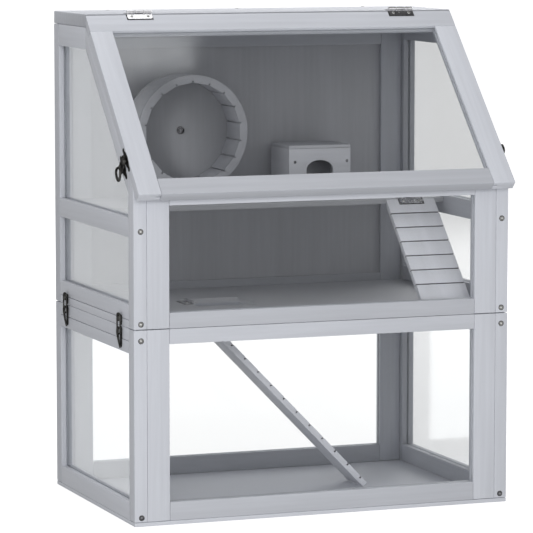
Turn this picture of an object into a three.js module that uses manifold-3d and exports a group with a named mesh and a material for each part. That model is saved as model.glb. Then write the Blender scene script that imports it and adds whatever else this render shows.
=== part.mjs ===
// Two-storey timber hamster cage with acrylic windows, in millimetres, +Z up.
// Origin: middle of the footprint (lid lip included) at the underside of the base board.
// Front faces -Y. The upper unit stands on the lower unit and is held by four toggle latches.

import * as THREE from 'three';
import { mergeVertices } from 'three/addons/utils/BufferGeometryUtils.js';
import Module from 'manifold-3d';

const wasm = await Module();
wasm.setup();

// ---- driving dimensions -------------------------------------------------------------------
const GAP = 0.3;                 // clearance between neighbouring pieces
const HALF_WIDTH = 300;          // cage body half width
const FRONT = -181;              // front face of the posts
const BACK = 207;                // back face of the posts
const BASE_TOP = 6;              // base board thickness
const SEAM = 292.3;              // joint between lower and upper unit
const ROOF_TOP = 746;            // top of the roof board

const SIDE_THICK = 20;           // side frame timber thickness
const POST = 25;                 // side frame post width
const FRONT_THICK = 18;          // front frame timber thickness
const BACK_THICK = 16;           // back frame timber thickness
const STILE = 35;                // front and back frame stile width
const INNER = HALF_WIDTH - SIDE_THICK;

const PANE = 2.6;                // acrylic sheet thickness
const GROOVE = 3.4;              // groove that holds the sheet
const GROOVE_DEPTH = 6;
const PANE_LAP = 5;              // how far a sheet reaches into its groove

const FLOOR_TOP = 304;           // upper unit floor
const SHELF_TOP = 453;           // third level shelf
const BOARD = 8;                 // floor and shelf thickness
const SHELF_FRONT = 18;          // y of the shelf's free edge
const ROOF_FRONT = 44.3;         // y of the roof board's front edge

const LID_ANGLE = Math.PI / 4;
const LID_LENGTH = 354.3;        // along the slope
const LID_THICK = 15;
const LID_TOP_Y = 43.7;          // outer top corner of the lid
const LID_TOP_Z = 744.2;
const LID_RAIL_TOP = 32;
const LID_RAIL_BOTTOM = 30;
const LID_STILE = 35;

const HINGE_OFFSET = 2.7;        // hinge axis above the faces that its leaves lie on
const HINGE_WIDTH = 40;
const LID_HINGE_X = 215;

const WHEEL = { x: -104, z: 557, front: 112, back: 179.3, radius: 90, slats: 18 };
const RAMP_THICK = 9;
const SEAM_LATCH_Y = [145, -121.5];

// ---- materials ----------------------------------------------------------------------------
const painted = (color) => new THREE.MeshStandardMaterial({ color, roughness: 0.6, metalness: 0 });
const frameGrey = painted(0xc4c7cd);
const boardGrey = painted(0x8c8d92);
const rampGrey = painted(0xa6a9ae);
const clear = new THREE.MeshStandardMaterial({
  color: 0xf2f5f6, roughness: 0.05, metalness: 0, transparent: true, opacity: 0.2,
});
const nickel = new THREE.MeshStandardMaterial({ color: 0xb9bcc0, roughness: 0.3, metalness: 1 });
const darkMetal = new THREE.MeshStandardMaterial({ color: 0x34342f, roughness: 0.4, metalness: 0.9 });

// ---- geometry helpers ---------------------------------------------------------------------
const cage = new THREE.Group();

function add(parent, name, geometry, material) {
  const mesh = new THREE.Mesh(geometry, material);
  mesh.name = name;
  parent.add(mesh);
  return mesh;
}

function box(x, y, z) {
  const geometry = new THREE.BoxGeometry(x[1] - x[0], y[1] - y[0], z[1] - z[0]);
  return geometry.translate((x[0] + x[1]) / 2, (y[0] + y[1]) / 2, (z[0] + z[1]) / 2);
}

function extrude(outline, depth, holes = []) {
  const shape = new THREE.Shape(outline.map(([u, v]) => new THREE.Vector2(u, v)));
  for (const hole of holes) {
    shape.holes.push(new THREE.Path(hole.map(([u, v]) => new THREE.Vector2(u, v))));
  }
  return new THREE.ExtrudeGeometry(shape, { depth, bevelEnabled: false });
}

// Outline in (y, z), swept from x0 to x1.
function alongX(outline, x0, x1, holes) {
  const turn = new THREE.Matrix4().makeBasis(
    new THREE.Vector3(0, 1, 0), new THREE.Vector3(0, 0, 1), new THREE.Vector3(1, 0, 0));
  return extrude(outline, x1 - x0, holes).applyMatrix4(turn).translate(x0, 0, 0);
}

// Outline in (x, z), swept from y0 to y1.
function alongY(outline, y0, y1, holes) {
  return extrude(outline, y1 - y0, holes).rotateX(Math.PI / 2).translate(0, y1, 0);
}

// Outline in (x, y), swept from z0 to z1.
function alongZ(outline, z0, z1, holes) {
  return extrude(outline, z1 - z0, holes).translate(0, 0, z0);
}

function rodX(radius, x0, x1, sides = 16) {
  const geometry = new THREE.CylinderGeometry(radius, radius, x1 - x0, sides);
  return geometry.rotateZ(Math.PI / 2).translate((x0 + x1) / 2, 0, 0);
}

function rodY(radius, y0, y1, sides = 16) {
  return new THREE.CylinderGeometry(radius, radius, y1 - y0, sides).translate(0, (y0 + y1) / 2, 0);
}

const rect = (u0, u1, v0, v1) => [[u0, v0], [u1, v0], [u1, v1], [u0, v1]];

// A convex outline given anticlockwise, with every side moved outward.
function grow(outline, by) {
  const sides = outline.map(([u, v], i) => {
    const [nextU, nextV] = outline[(i + 1) % outline.length];
    const length = Math.hypot(nextU - u, nextV - v);
    const normal = [(nextV - v) / length, (u - nextU) / length];
    return { normal, offset: normal[0] * u + normal[1] * v + by };
  });
  return sides.map((side, i) => {
    const before = sides[(i + sides.length - 1) % sides.length];
    const [a, b] = before.normal;
    const [c, d] = side.normal;
    const det = a * d - b * c;
    return [
      (before.offset * d - b * side.offset) / det,
      (a * side.offset - before.offset * c) / det,
    ];
  });
}

function toSolid(geometry) {
  const bare = geometry.clone();
  bare.deleteAttribute('normal');
  bare.deleteAttribute('uv');
  const merged = mergeVertices(bare, 1e-4);
  return new wasm.Manifold(new wasm.Mesh({
    numProp: 3,
    vertProperties: new Float32Array(merged.attributes.position.array),
    triVerts: new Uint32Array(merged.index.array),
  }));
}

function toGeometry(manifold) {
  const mesh = manifold.getMesh();
  const geometry = new THREE.BufferGeometry();
  geometry.setAttribute('position', new THREE.BufferAttribute(mesh.vertProperties, 3));
  geometry.setIndex(new THREE.BufferAttribute(mesh.triVerts, 1));
  geometry.computeVertexNormals();
  return geometry;
}

function cut(geometry, ...tools) {
  return toGeometry(tools.reduce((left, tool) => left.subtract(toSolid(tool)), toSolid(geometry)));
}

function join(...geometries) {
  return toGeometry(geometries.map(toSolid).reduce((left, right) => left.add(right)));
}

// ---- side frames --------------------------------------------------------------------------
const sideY = [FRONT + POST, BACK - POST];
const lidInnerRise = LID_TOP_Z - LID_TOP_Y - LID_THICK * Math.SQRT2;   // lid underside: z = y + this
const SLANT_GAP = 0.5;
const slantTop = lidInnerRise - SLANT_GAP;                            // slanted edge: z = y + this
const slantInner = slantTop - 31.8;
const sideTop = ROOF_TOP - SIDE_THICK + GAP;

const lowerWindow = rect(...sideY, 33.5, 255);
const middleWindow = rect(...sideY, 327, 427);
const highWindow = [
  [sideY[0], 456], [sideY[1], 456], [sideY[1], 693],
  [693 - slantInner, 693], [sideY[0], sideY[0] + slantInner],
];
const lowerOutline = rect(FRONT, BACK, BASE_TOP + GAP, SEAM - GAP);
const upperOutline = [
  [FRONT, SEAM + GAP], [BACK, SEAM + GAP], [BACK, sideTop],
  [sideTop - slantTop, sideTop], [FRONT, FRONT + slantTop],
];

function addSide(side, sign) {
  const middle = sign * (HALF_WIDTH - SIDE_THICK / 2);
  const sweep = (outline, thick, holes) => alongX(outline, middle - thick / 2, middle + thick / 2, holes);
  const frame = (name, outline, windows) => {
    const grooves = windows.map((window) => sweep(grow(window, GROOVE_DEPTH), GROOVE));
    add(cage, name, cut(sweep(outline, SIDE_THICK, windows), ...grooves), frameGrey);
  };
  const pane = (name, window) => add(cage, name, sweep(grow(window, PANE_LAP), PANE), clear);
  frame(`lower_${side}_frame`, lowerOutline, [lowerWindow]);
  frame(`upper_${side}_frame`, upperOutline, [middleWindow, highWindow]);
  pane(`lower_${side}_pane`, lowerWindow);
  pane(`upper_${side}_middle_pane`, middleWindow);
  pane(`upper_${side}_high_pane`, highWindow);
}

addSide('left', -1);
addSide('right', 1);

// ---- front and back frames, between the side frames ---------------------------------------
const frameX = INNER - GAP;
const GROOVE_SETBACK = 7;        // groove behind the outer face of a front frame
const grooveY = FRONT + GROOVE_SETBACK;
const backGrooveY = BACK - BACK_THICK / 2 - GROOVE / 2;

function addFramed(name, outline, window, yFace, yEnd, yGroove, fillName, fillMaterial) {
  const groove = alongY(grow(window, GROOVE_DEPTH), yGroove, yGroove + GROOVE);
  add(cage, name, cut(alongY(outline, yFace, yEnd, [window]), groove), frameGrey);
  const play = (GROOVE - PANE) / 2;
  const sheet = alongY(grow(window, PANE_LAP), yGroove + play, yGroove + GROOVE - play);
  add(cage, fillName, sheet, fillMaterial);
}

const stileX = INNER - STILE;
const lowerFrontWindow = rect(-stileX, stileX, 34, 269.5);
const upperFrontWindow = rect(-stileX, stileX, 316, 474);
const upperBackWindow = rect(-stileX, stileX, 316, 686);
const lowerPanel = rect(-frameX, frameX, BASE_TOP + GAP, SEAM - GAP);
const upperFrontTop = FRONT + lidInnerRise - 1;
const upperFrontPanel = rect(-frameX, frameX, SEAM + GAP, upperFrontTop);
const upperBackPanel = rect(-frameX, frameX, SEAM + GAP, sideTop);
const frontEnd = FRONT + FRONT_THICK;
const backFace = BACK - BACK_THICK;

addFramed('lower_front_frame', lowerPanel, lowerFrontWindow, FRONT, frontEnd, grooveY,
  'lower_front_pane', clear);
addFramed('upper_front_frame', upperFrontPanel, upperFrontWindow, FRONT, frontEnd, grooveY,
  'upper_front_pane', clear);
addFramed('lower_back_frame', lowerPanel, lowerFrontWindow, backFace, BACK, backGrooveY,
  'lower_back_pane', clear);
addFramed('upper_back_frame', upperBackPanel, upperBackWindow, backFace, BACK, backGrooveY,
  'back_board', boardGrey);

// ---- boards -------------------------------------------------------------------------------
const FLOOR_HOLE = { x: [-146, -50], y: [-30, 60] };
const boardX = [-frameX, frameX];
const floorY = [frontEnd + GAP, backFace - GAP];

add(cage, 'base_board', box([-HALF_WIDTH, HALF_WIDTH], [FRONT, BACK], [0, BASE_TOP]), frameGrey);
add(cage, 'upper_floor', alongZ(rect(...boardX, ...floorY), FLOOR_TOP - BOARD, FLOOR_TOP,
  [rect(...FLOOR_HOLE.x, ...FLOOR_HOLE.y)]), boardGrey);
add(cage, 'shelf', box(boardX, [SHELF_FRONT, floorY[1]], [SHELF_TOP - BOARD, SHELF_TOP]), boardGrey);
add(cage, 'roof_board', box([-HALF_WIDTH, HALF_WIDTH], [ROOF_FRONT, BACK],
  [sideTop + GAP, ROOF_TOP]), frameGrey);

// ---- hinges -------------------------------------------------------------------------------
const BARREL = 2.4;
const PIN = 0.9;
const LEAF_THICK = 1.2;
const LEAF_REACH = 13;

// A leaf in its own frame: axis on X through the origin, plate below it, reaching along reachSign Y.
function leafPlate(width, reachSign) {
  const top = -BARREL + LEAF_THICK;
  const y = reachSign > 0 ? [0, LEAF_REACH] : [-LEAF_REACH, 0];
  return box([-width / 2, width / 2], y, [-BARREL, top]);
}

function fixedLeaf(width) {
  const third = width / 6;
  const room = [rodX(BARREL + 0.5, third, width), rodX(BARREL + 0.5, -width, -third)];
  const plate = cut(leafPlate(width, 1), ...room);
  const half = width / 2;
  return join(plate, rodX(BARREL, -third + GAP, third - GAP), rodX(PIN, -half, half, 10));
}

// The moving leaf rests at -angle to the fixed one, and is cut back from the fixed board's edge.
function movingLeaf(width, angle) {
  const third = width / 6;
  const half = width / 2;
  const boardEdge = box([-width, width], [-2 * GAP, LEAF_REACH], [-LEAF_REACH, -BARREL]);
  const room = rodX(BARREL + 0.5, -third, third);
  const plate = cut(leafPlate(width, -1), room, boardEdge.rotateX(-angle));
  const barrels = [rodX(BARREL, third, half), rodX(BARREL, -half, -third)];
  return cut(join(plate, ...barrels), rodX(PIN + 0.4, -width, width, 10));
}

// ---- lid ----------------------------------------------------------------------------------
// Local frame: origin at the lid's outer top edge, -Y down the slope, +Z out of the outer face.
const lidPlane = new THREE.Group();
lidPlane.position.set(0, LID_TOP_Y, LID_TOP_Z);
lidPlane.rotation.x = LID_ANGLE;
cage.add(lidPlane);

const lidProfile = [[0, 0], [-LID_THICK, -LID_THICK], [-LID_LENGTH, -LID_THICK], [-LID_LENGTH, 0]];
const lidX = HALF_WIDTH - LID_STILE;
const lidWindow = rect(-lidX, lidX, -LID_LENGTH + LID_RAIL_BOTTOM, -LID_RAIL_TOP);
const lidMiddle = -LID_THICK / 2;

add(lidPlane, 'lid_frame', cut(
  alongX(lidProfile.reverse(), -HALF_WIDTH, HALF_WIDTH),
  alongZ(lidWindow, -LID_THICK - 1, 1),
  alongZ(grow(lidWindow, GROOVE_DEPTH), lidMiddle - GROOVE / 2, lidMiddle + GROOVE / 2),
), frameGrey);
add(lidPlane, 'lid_pane', alongZ(grow(lidWindow, PANE_LAP), lidMiddle - PANE / 2,
  lidMiddle + PANE / 2), clear);

// The hinge axis is the same distance above the roof board and above the lid's outer face.
const lidHingeZ = ROOF_TOP + HINGE_OFFSET;
const lidHingeY = lidHingeZ - (LID_TOP_Z - LID_TOP_Y) - HINGE_OFFSET * Math.SQRT2;
for (const [side, x] of [['left', -LID_HINGE_X], ['right', LID_HINGE_X]]) {
  const axis = new THREE.Group();
  axis.position.set(x, lidHingeY, lidHingeZ);
  cage.add(axis);
  add(axis, `lid_hinge_${side}_fixed_leaf`, fixedLeaf(HINGE_WIDTH), nickel);
  const moving = add(axis, `lid_hinge_${side}_moving_leaf`, movingLeaf(HINGE_WIDTH, LID_ANGLE), nickel);
  moving.rotation.x = LID_ANGLE;
}

// ---- ramps --------------------------------------------------------------------------------
const TREAD_GROOVE = 3;            // tread groove width
const TREAD_DEPTH = 2.5;          // tread groove depth

// A ramp in its hinge's frame: -Y down the slope, tread face HINGE_OFFSET below the axis.
function rampBoard(width, length, angle, firstGroove, pitch) {
  const tread = -HINGE_OFFSET;
  const under = tread - RAMP_THICK;
  const top = -(GAP + HINGE_OFFSET * Math.sin(angle)) / Math.cos(angle);
  const outline = [[top, tread]];
  for (let s = firstGroove; s < length - 2 * TREAD_GROOVE; s += pitch) {
    outline.push([-s, tread], [-s, tread - TREAD_DEPTH]);
    outline.push([-s - TREAD_GROOVE, tread - TREAD_DEPTH], [-s - TREAD_GROOVE, tread]);
  }
  outline.push([-length, tread], [-length, under], [top - RAMP_THICK * Math.tan(angle), under]);
  return alongX(outline, -width / 2, width / 2);
}

function addRamp({ name, at, heading, angle, width, landing, firstGroove, pitch }) {
  const axis = new THREE.Group();
  axis.position.set(...at);
  axis.rotation.z = heading;
  cage.add(axis);
  const tilt = new THREE.Group();
  tilt.rotation.x = angle;
  axis.add(tilt);
  const drop = at[2] - landing - GAP - (HINGE_OFFSET + RAMP_THICK) * Math.cos(angle);
  const length = drop / Math.sin(angle);
  add(tilt, name, rampBoard(width, length, angle, firstGroove, pitch), rampGrey);
  add(axis, `${name}_hinge_fixed_leaf`, fixedLeaf(HINGE_WIDTH), nickel);
  add(tilt, `${name}_hinge_moving_leaf`, movingLeaf(HINGE_WIDTH, angle), nickel);
}

addRamp({
  name: 'shelf_ramp', at: [222.5, SHELF_FRONT - GAP, SHELF_TOP + HINGE_OFFSET], heading: 0,
  angle: LID_ANGLE, width: 81, landing: FLOOR_TOP, firstGroove: 30.3, pitch: 28.3,
});
addRamp({
  name: 'floor_ramp', at: [FLOOR_HOLE.x[0] + GAP, 15, FLOOR_TOP + HINGE_OFFSET],
  heading: Math.PI / 2, angle: THREE.MathUtils.degToRad(45.8), width: 65, landing: BASE_TOP,
  firstGroove: 26.4, pitch: 30.5,
});

// ---- exercise wheel -----------------------------------------------------------------------
const RING_THICK = 6;
const SLAT_THICK = 5;
const SLAT_FACE = 77;            // inner face of the slats, from the axis
const AXLE_BORE = 3.4;

const circle = (radius, sides) => Array.from({ length: sides }, (_, i) => {
  const angle = (2 * Math.PI * i) / sides;
  return [radius * Math.cos(angle), radius * Math.sin(angle)];
});

// A polygon with a small square nick at every corner, where two slats meet.
function slatPolygon(faceRadius, nick) {
  const step = (2 * Math.PI) / WHEEL.slats;
  const halfFace = faceRadius * Math.tan(step / 2) - nick / 2;
  const outline = [];
  for (let i = 0; i < WHEEL.slats; i += 1) {
    const angle = i * step;
    const place = (u, v) => outline.push([
      u * Math.cos(angle) - v * Math.sin(angle),
      u * Math.sin(angle) + v * Math.cos(angle),
    ]);
    place(faceRadius + nick, -halfFace);
    place(faceRadius, -halfFace);
    place(faceRadius, halfFace);
    place(faceRadius + nick, halfFace);
  }
  return outline;
}

const wheelAxis = new THREE.Group();
wheelAxis.position.set(WHEEL.x, 0, WHEEL.z);
cage.add(wheelAxis);

const discFront = WHEEL.back - RING_THICK;
const ringBack = WHEEL.front + RING_THICK;
add(wheelAxis, 'wheel_disc', alongY(circle(WHEEL.radius, 64), discFront, WHEEL.back,
  [circle(AXLE_BORE, 32)]), boardGrey);
add(wheelAxis, 'wheel_slats', alongY(circle(SLAT_FACE + SLAT_THICK + 2, WHEEL.slats * 2),
  ringBack + GAP, discFront - GAP, [slatPolygon(SLAT_FACE, 1.6)]), boardGrey);
add(wheelAxis, 'wheel_ring', alongY(circle(WHEEL.radius, 72), WHEEL.front, ringBack,
  [slatPolygon(SLAT_FACE, 1.6)]), rampGrey);

const boardFront = backGrooveY + (GROOVE - PANE) / 2 - GAP;
const axleProfile = [
  [0, -4.2], [4, -3.9], [6, -2.4], [6, -GAP], [3.2, -GAP], [3.2, RING_THICK + GAP],
  [8, RING_THICK + GAP], [8, boardFront - discFront], [0, boardFront - discFront],
];
add(wheelAxis, 'wheel_axle', new THREE.LatheGeometry(
  axleProfile.map(([r, y]) => new THREE.Vector2(r, discFront + y)), 24), nickel);

// ---- hide house ---------------------------------------------------------------------------
const HOUSE = { x: [53, 157], y: [105, 185], top: 533, wall: 6, roof: 5 };
const houseFloor = SHELF_TOP + GAP;
const houseEaves = HOUSE.top - HOUSE.roof - GAP;
const DOOR = { x: 105, halfWidth: 22.5, spring: 495, top: 509.3 };

function doorFront() {
  const outline = [[HOUSE.x[0], houseFloor], [DOOR.x - DOOR.halfWidth, houseFloor]];
  const steps = 12;
  for (let i = 0; i <= steps; i += 1) {
    const angle = Math.PI * (1 - i / steps);
    outline.push([
      DOOR.x + DOOR.halfWidth * Math.cos(angle),
      DOOR.spring + (DOOR.top - DOOR.spring) * Math.sin(angle),
    ]);
  }
  outline.push([DOOR.x + DOOR.halfWidth, houseFloor], [HOUSE.x[1], houseFloor]);
  outline.push([HOUSE.x[1], houseEaves], [HOUSE.x[0], houseEaves]);
  return alongY(outline, HOUSE.y[0], HOUSE.y[0] + HOUSE.wall);
}

function houseWalls() {
  const [left, right] = HOUSE.x;
  const front = HOUSE.y[0] + HOUSE.wall + GAP;
  const back = HOUSE.y[1];
  const outline = [
    [left, front], [left + HOUSE.wall, front], [left + HOUSE.wall, back - HOUSE.wall],
    [right - HOUSE.wall, back - HOUSE.wall], [right - HOUSE.wall, front], [right, front],
    [right, back], [left, back],
  ];
  return alongZ(outline, houseFloor, houseEaves);
}

add(cage, 'house_front', doorFront(), boardGrey);
add(cage, 'house_walls', houseWalls(), boardGrey);
add(cage, 'house_roof', box(HOUSE.x, HOUSE.y, [houseEaves + GAP, HOUSE.top]), boardGrey);

// ---- toggle latches -----------------------------------------------------------------------
// Local frame: origin on the wall at the lever's pivot, -X away from the wall, +Z to the keeper.
const PIVOT_OUT = 4.2;
const LEVER_HALF = 5.5;
const WIRE = 1;
const KEEPER = { radius: 7, thick: 2.5, centre: 18 };
const LOOP_END = 19;             // loop bar, above the pivot

function lever(tip, loopPivot) {
  const shoulder = 3.6;
  const outline = [];
  const steps = 6;
  for (let i = 0; i <= steps; i += 1) {
    const angle = (Math.PI * i) / steps;
    outline.push([-PIVOT_OUT + shoulder * 0.85 * Math.cos(angle), shoulder * Math.sin(angle)]);
  }
  outline.push([-PIVOT_OUT - 3.4, -2.5], [-3.4, -tip + 1], [-2.2, -tip], [-1.1, -tip + 1]);
  const bore = circle(WIRE + 0.4, 12).map(([u, v]) => [u - PIVOT_OUT, v - loopPivot]);
  return alongY(outline, -LEVER_HALF, LEVER_HALF, [bore]);
}

function wireLoop(loopPivot) {
  const legY = LEVER_HALF + WIRE + 0.4;
  const out = -PIVOT_OUT;
  const reach = legY + WIRE;
  const bar = (z) => rodY(WIRE, -reach, reach, 10).translate(out, 0, z);
  const leg = (y) => rodY(WIRE, -loopPivot - WIRE, LOOP_END + WIRE, 10)
    .rotateX(Math.PI / 2).translate(out, y, 0);
  return join(bar(LOOP_END), bar(-loopPivot), leg(legY), leg(-legY));
}

function keeper() {
  const disc = rodX(KEEPER.radius, -GAP - KEEPER.thick, -GAP, 24);
  return disc.translate(0, 0, KEEPER.centre);
}

function addLatch(name, place, sign, tip, loopPivot) {
  const hand = new THREE.Group();
  hand.rotation.z = sign > 0 ? Math.PI : 0;
  place.add(hand);
  add(hand, `${name}_lever`, lever(tip, loopPivot), darkMetal);
  add(hand, `${name}_loop`, wireLoop(loopPivot), darkMetal);
  add(hand, `${name}_keeper`, keeper(), darkMetal);
}

const SEAM_PIVOT_Z = SEAM - 3.3;
const LID_LATCH_SLOPE = 281;     // down the slope from the lid's top edge
const LID_KEEPER_DEPTH = 7.5;    // keeper's centre, below the lid's outer face
for (const [side, sign] of [['left', -1], ['right', 1]]) {
  for (const [end, y] of [['back', SEAM_LATCH_Y[0]], ['front', SEAM_LATCH_Y[1]]]) {
    const place = new THREE.Group();
    place.position.set(sign * HALF_WIDTH, y, SEAM_PIVOT_Z);
    cage.add(place);
    addLatch(`seam_latch_${side}_${end}`, place, sign, 30, 8);
  }
  const place = new THREE.Group();
  place.position.set(sign * HALF_WIDTH, -LID_LATCH_SLOPE, -LID_KEEPER_DEPTH - KEEPER.centre);
  lidPlane.add(place);
  addLatch(`lid_latch_${side}`, place, sign, 20, 5);
}

export default cage;
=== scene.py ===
"""Looks of the two-storey hamster cage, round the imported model: metres, +Z up, front towards -Y."""

import math
import random

import bmesh
import bpy
from mathutils import Matrix, Vector


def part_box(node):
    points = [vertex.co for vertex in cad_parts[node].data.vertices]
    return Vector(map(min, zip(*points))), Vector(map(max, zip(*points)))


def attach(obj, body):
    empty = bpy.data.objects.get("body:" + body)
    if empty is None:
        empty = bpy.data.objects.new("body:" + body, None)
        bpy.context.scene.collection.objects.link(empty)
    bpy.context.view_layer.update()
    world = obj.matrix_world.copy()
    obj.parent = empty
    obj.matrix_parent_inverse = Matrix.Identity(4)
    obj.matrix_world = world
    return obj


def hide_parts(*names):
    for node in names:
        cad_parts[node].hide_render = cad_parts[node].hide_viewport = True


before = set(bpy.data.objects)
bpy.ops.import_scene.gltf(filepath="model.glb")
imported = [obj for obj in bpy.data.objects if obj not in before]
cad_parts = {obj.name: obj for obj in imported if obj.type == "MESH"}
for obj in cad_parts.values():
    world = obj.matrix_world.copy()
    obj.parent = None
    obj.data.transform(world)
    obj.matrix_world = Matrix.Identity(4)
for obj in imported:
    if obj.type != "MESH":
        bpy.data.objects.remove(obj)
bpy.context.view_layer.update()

# ---- driving dimensions (metres) ----
MM = 0.001
ROOT2 = math.sqrt(2)
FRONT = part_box("base_board")[0].y
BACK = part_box("base_board")[1].y
HALF_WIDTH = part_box("base_board")[1].x
LAP = 5 * MM  # how far a sheet reaches into its groove
GROOVE = 3.4 * MM
GROOVE_DEPTH = 6 * MM
BATTEN_LOW = 273 * MM  # lower edge of the lower unit's filler batten
BATTEN_HIGH = 305 * MM  # upper edge of the upper unit's filler batten
BATTEN_JOINT = 0.9 * MM  # visual only: the open joint between a batten and its rail
BUTT_JOINT = 0.35 * MM  # visual only: how far a member stops short of its neighbour
BASE_TOP = 6 * MM
FLOOR_TOP = 304 * MM
LID_TOP = Vector((0, 43.7 * MM, 744.2 * MM))
LID_LENGTH = 354.3 * MM
LID_THICK = 15 * MM
LID_RAIL_TOP = 32 * MM
LID_RAIL_BOTTOM = 30 * MM
LID_STILE = 35 * MM
SLANT_WIDTH = 31.8 * MM  # height of the slanted side rail, measured straight up
SLANT_GAP = 0.5 * MM
HINGE_OFFSET = 2.7 * MM
HINGE_WIDTH = 40 * MM
BARREL = 2.4 * MM
SLOPE = math.radians(45)
FLOOR_RAMP_SLOPE = math.radians(45.8)
SEAM_PIVOT_Z = 289 * MM
LID_LATCH_SLOPE = 281 * MM  # the lid latch's pivot, down the slope
LID_LATCH_DEPTH = 25.5 * MM  # and below the lid's outer face
EDGE = 0.8 * MM  # visual only: rounding of sawn timber edges
SHARP = math.radians(25)  # edges over this angle are rounded
CREASE = math.radians(38)  # edges over this angle are shaded as sharp

# ---- mesh helpers ----


def grain_frame(along):
    """Three axes, the first one along the grain."""
    along = Vector(along).normalized()
    helper = Vector((0, 0, 1)) if abs(along.z) < 0.7 else Vector((1, 0, 0))
    across = along.cross(helper).normalized()
    return along, across, along.cross(across)


def store_grain(mesh, along, name, tone):
    """Writes what the wood materials read: grain-first coordinates and the piece's tone, random plus
    any painted shade.
    """
    axes = grain_frame(along)
    chance = random.Random(name)
    shift = [chance.uniform(0, 20) for _ in range(3)]
    values = []
    for vertex in mesh.vertices:
        values += [vertex.co.dot(axis) + shift[i] for i, axis in enumerate(axes)]
    attribute = mesh.attributes.new("grain", "FLOAT_VECTOR", "POINT")
    attribute.data.foreach_set("vector", values)
    tone_and_painted_shade = mesh.attributes.new("tone", "FLOAT", "FACE")
    value = tone + chance.uniform(-0.025, 0.025)
    tone_and_painted_shade.data.foreach_set("value", [value] * len(mesh.polygons))


def bevel_sharp(bm, width, segments=2):
    """Rounds the sharp edges and marks the new faces as worn."""
    worn = bm.faces.layers.float.get("worn") or bm.faces.layers.float.new("worn")
    sharp = [e for e in bm.edges if e.is_manifold and e.calc_face_angle(0) > SHARP]
    made = bmesh.ops.bevel(
        bm, geom=sharp, offset=width, offset_type="OFFSET", segments=segments, profile=0.55,
        affect="EDGES", clamp_overlap=True)
    for face in made["faces"]:
        face[worn] = 1.0


def make_piece(name, bm, material, body, replaces=(), along=(1, 0, 0), bevel=0.0, tone=0.0):
    """Turns a bmesh into a finished piece that rides on a body."""
    bmesh.ops.remove_doubles(bm, verts=bm.verts, dist=1e-7)
    bmesh.ops.recalc_face_normals(bm, faces=bm.faces)
    if not bm.faces.layers.float.get("worn"):
        bm.faces.layers.float.new("worn")
    if bevel:
        bevel_sharp(bm, bevel)
    mesh = bpy.data.meshes.new(name)
    bm.to_mesh(mesh)
    bm.free()
    mesh.shade_smooth()
    mesh.set_sharp_from_angle(angle=CREASE)
    store_grain(mesh, along, name, tone)
    mesh.materials.append(material)
    piece = bpy.data.objects.new(name, mesh)
    bpy.context.scene.collection.objects.link(piece)
    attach(piece, body)
    if replaces:
        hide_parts(*replaces)
    return piece


def prism(bm, outline, low, high, place):
    """Sweeps a (u, v) outline from t = low to t = high; place turns (u, v, t) into a point."""
    bottom = [bm.verts.new(place(u, v, low)) for u, v in outline]
    top = [bm.verts.new(place(u, v, high)) for u, v in outline]
    bm.faces.new(bottom)
    bm.faces.new(top)
    count = len(outline)
    for i in range(count):
        j = (i + 1) % count
        bm.faces.new((bottom[i], bottom[j], top[j], top[i]))


def block(bm, low, high):
    place = lambda u, v, t: Vector((u, v, t))
    outline = [(low[0], low[1]), (high[0], low[1]), (high[0], high[1]), (low[0], high[1])]
    prism(bm, outline, low[2], high[2], place)


def lathe(bm, profile, sides, matrix):
    """Turns (radius, height) points about the local Z axis."""
    rings = []
    for radius, height in profile:
        if radius < 1e-9:
            rings.append([bm.verts.new(matrix @ Vector((0, 0, height)))])
            continue
        ring = []
        for i in range(sides):
            angle = 2 * math.pi * i / sides
            point = Vector((radius * math.cos(angle), radius * math.sin(angle), height))
            ring.append(bm.verts.new(matrix @ point))
        rings.append(ring)
    for lower, upper in zip(rings, rings[1:]):
        for i in range(sides):
            j = (i + 1) % sides
            corners = [lower[i % len(lower)], lower[j % len(lower)], upper[j % len(upper)],
                       upper[i % len(upper)]]
            unique = list(dict.fromkeys(corners))
            if len(unique) > 2:
                bm.faces.new(unique)


def closed_wire(bm, points, normal, radius, sides=10):
    """A round wire along a closed flat path."""
    count = len(points)
    rings = []
    for i, point in enumerate(points):
        tangent = (points[(i + 1) % count] - points[i - 1]).normalized()
        side = normal.cross(tangent).normalized()
        ring = []
        for k in range(sides):
            angle = 2 * math.pi * k / sides
            offset = normal * math.cos(angle) + side * math.sin(angle)
            ring.append(bm.verts.new(point + offset * radius))
        rings.append(ring)
    for i in range(count):
        now, after = rings[i], rings[(i + 1) % count]
        for k in range(sides):
            m = (k + 1) % sides
            bm.faces.new((now[k], now[m], after[m], after[k]))


def axes_matrix(origin, x_axis, y_axis, z_axis):
    matrix = Matrix((x_axis, y_axis, z_axis)).transposed().to_4x4()
    matrix.translation = origin
    return matrix


def facing(origin, normal):
    """A matrix whose local Z points along normal."""
    normal = Vector(normal).normalized()
    turn = normal.to_track_quat("Z", "Y")
    return Matrix.Translation(origin) @ turn.to_matrix().to_4x4()


def arc(centre, radius, start, end, steps):
    """Points on a circle in a plane, angles in degrees."""
    points = []
    for i in range(steps + 1):
        angle = math.radians(start + (end - start) * i / steps)
        points.append((centre[0] + radius * math.cos(angle), centre[1] + radius * math.sin(angle)))
    return points


# ---- materials ----


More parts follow.
